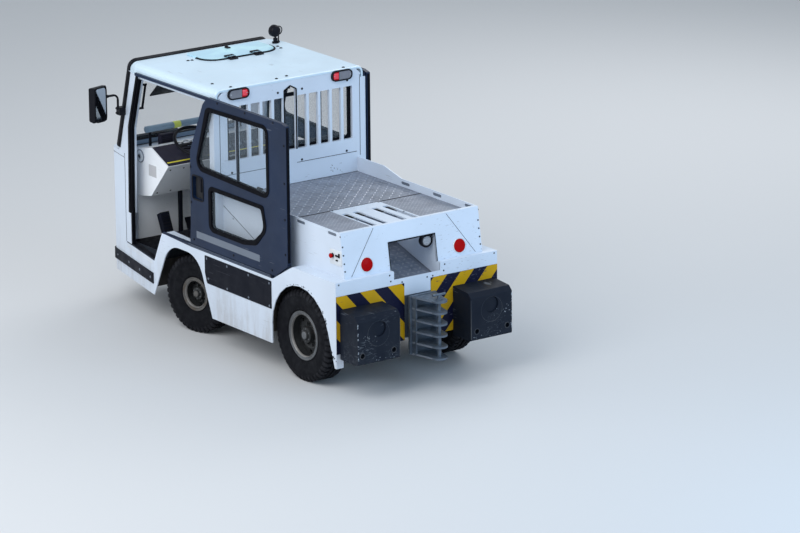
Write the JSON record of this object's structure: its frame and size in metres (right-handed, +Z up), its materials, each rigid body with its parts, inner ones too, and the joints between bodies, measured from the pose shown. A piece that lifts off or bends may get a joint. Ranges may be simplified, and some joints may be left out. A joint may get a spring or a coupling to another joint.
{
  "type": "airport baggage tug",
  "caption": "Airport baggage tractor with a hollow sliding-door cab, open load tray, steered front wheels and a rear tower of tow plates.",
  "frame": {"origin": "on the ground under the middle of the vehicle's length and width", "axes": "+X forward, +Y to the left, +Z up"},
  "size_m": [3.66, 1.8062, 2.0843],
  "materials": {
    "body_paint": "satin",
    "body_slate": "satin",
    "black_metal": "satin",
    "frame_black": "matt",
    "bare_plate": "brushed",
    "galvanised": "matt",
    "rim_paint": "satin",
    "tyre": "matt",
    "plastic_black": "matt",
    "seat_cover": "matt",
    "dash_plastic": "satin",
    "floor_mat": "matt",
    "hazard_yellow": "satin",
    "lamp_red": "gloss",
    "lamp_clear": "gloss",
    "glazing": "gloss",
    "seal_rubber": "matt",
    "hatch_blue": "satin"
  },
  "bodies": {
    "vehicle": {"chassis": "frame_black", "power_unit": "frame_black", "rear_axle": "frame_black", "front_axle": "frame_black", "body_left": "body_paint", "body_right": "body_paint", "skirt_plates": "black_metal", "rear_panel": "body_paint", "hazard_plates": "black_metal", "hazard_stripes": "hazard_yellow", "rear_box": "body_paint", "recess_step": "bare_plate", "deck_plates": "bare_plate", "deck_cover": "body_paint", "ballast_blocks": "body_slate", "hitch_tower": "galvanised", "front_shell": "body_paint", "bumper": "black_metal", "front_hitch": "galvanised", "cab_floor": "floor_mat", "cab_frame": "body_paint", "rear_wall": "body_paint", "windscreen_frame": "plastic_black", "windscreen": "glazing", "roof": "body_paint", "door_rails": "body_slate", "cab_seals": "seal_rubber", "rear_window": "glazing", "hatch_hinges": "plastic_black", "grab_handles": "plastic_black", "dash": "dash_plastic", "dash_cover": "plastic_black", "steering_column": "black_metal", "pedals": "black_metal", "seats": "seat_cover", "seat_bases": "black_metal", "mirrors": "plastic_black", "red_lamps": "lamp_red", "clear_lamps": "lamp_clear", "beacon": "plastic_black"},
    "steer_left": {"knuckle_left": "frame_black"},
    "steer_right": {"knuckle_right": "frame_black"},
    "tie_rod": {"tie_rod": "galvanised"},
    "wheel_front_left": {"rim_front_left": "rim_paint", "tyre_front_left": "tyre"},
    "wheel_front_right": {"rim_front_right": "rim_paint", "tyre_front_right": "tyre"},
    "wheel_rear_left": {"rim_rear_left": "rim_paint", "tyre_rear_left": "tyre"},
    "wheel_rear_right": {"rim_rear_right": "rim_paint", "tyre_rear_right": "tyre"},
    "steering_wheel": {"steering_wheel": "plastic_black"},
    "door_left": {"door_left": "body_slate", "door_left_seals": "seal_rubber", "door_left_glass": "glazing"},
    "door_right": {"door_right": "body_slate", "door_right_seals": "seal_rubber", "door_right_glass": "glazing"},
    "roof_hatch": {"roof_hatch": "hatch_blue"},
    "hitch_pin": {"hitch_pin": "galvanised"}
  },
  "joints": [
    {"name": "steer_left", "type": "hinge", "parent": "vehicle", "child": "steer_left", "pos_m": [0.537, 0.42, 0.294], "axis": [0, 0, 1], "range_deg": [-47.4, 22.6]},
    {"name": "steer_right", "type": "hinge", "parent": "vehicle", "child": "steer_right", "pos_m": [0.537, -0.42, 0.294], "axis": [0, 0, 1], "range_deg": [-47.4, 22.6]},
    {"name": "wheel_front_left_spin", "type": "hinge", "parent": "steer_left", "child": "wheel_front_left", "pos_m": [0.5122, 0.53281, 0.294], "axis": [-0.2147, 0.9767, 0], "continuous": true},
    {"name": "wheel_front_right_spin", "type": "hinge", "parent": "steer_right", "child": "wheel_front_right", "pos_m": [0.5618, -0.53281, 0.294], "axis": [-0.2147, 0.9767, 0], "continuous": true},
    {"name": "wheel_rear_left_spin", "type": "hinge", "parent": "vehicle", "child": "wheel_rear_left", "pos_m": [-1, 0.579, 0.34], "axis": [0, 1, 0], "continuous": true},
    {"name": "wheel_rear_right_spin", "type": "hinge", "parent": "vehicle", "child": "wheel_rear_right", "pos_m": [-1, -0.579, 0.34], "axis": [0, 1, 0], "continuous": true},
    {"name": "tie_rod_pivot", "type": "hinge", "parent": "steer_left", "child": "tie_rod", "pos_m": [0.3905, 0.38779, 0.231], "axis": [0, 0, 1], "range_deg": [-22.6, 47.4]},
    {"name": "steering_wheel_turn", "type": "hinge", "parent": "vehicle", "child": "steering_wheel", "pos_m": [1.01135, 0.2, 1.29996], "axis": [-0.4054, 0, 0.9141], "range_deg": [-758.4, 361.6]},
    {"name": "door_left_slide", "type": "slide", "parent": "vehicle", "child": "door_left", "axis": [1, 0, 0], "range_m": [0, 0.978]},
    {"name": "door_right_slide", "type": "slide", "parent": "vehicle", "child": "door_right", "axis": [1, 0, 0], "range_m": [-0.978, 0]},
    {"name": "roof_hatch_hinge", "type": "hinge", "parent": "vehicle", "child": "roof_hatch", "pos_m": [0.852, 0, 1.956], "axis": [0, -1, 0], "range_deg": [0, 60]},
    {"name": "hitch_pin_lift", "type": "slide", "parent": "vehicle", "child": "hitch_pin", "axis": [0, 0, 1], "range_m": [0, 0.44]}
  ],
  "couplings": [
    {"joint": "steer_right", "follows": "steer_left", "ratio": 1},
    {"joint": "tie_rod_pivot", "follows": "steer_left", "ratio": -1},
    {"joint": "steering_wheel_turn", "follows": "steer_left", "ratio": 16}
  ]
}
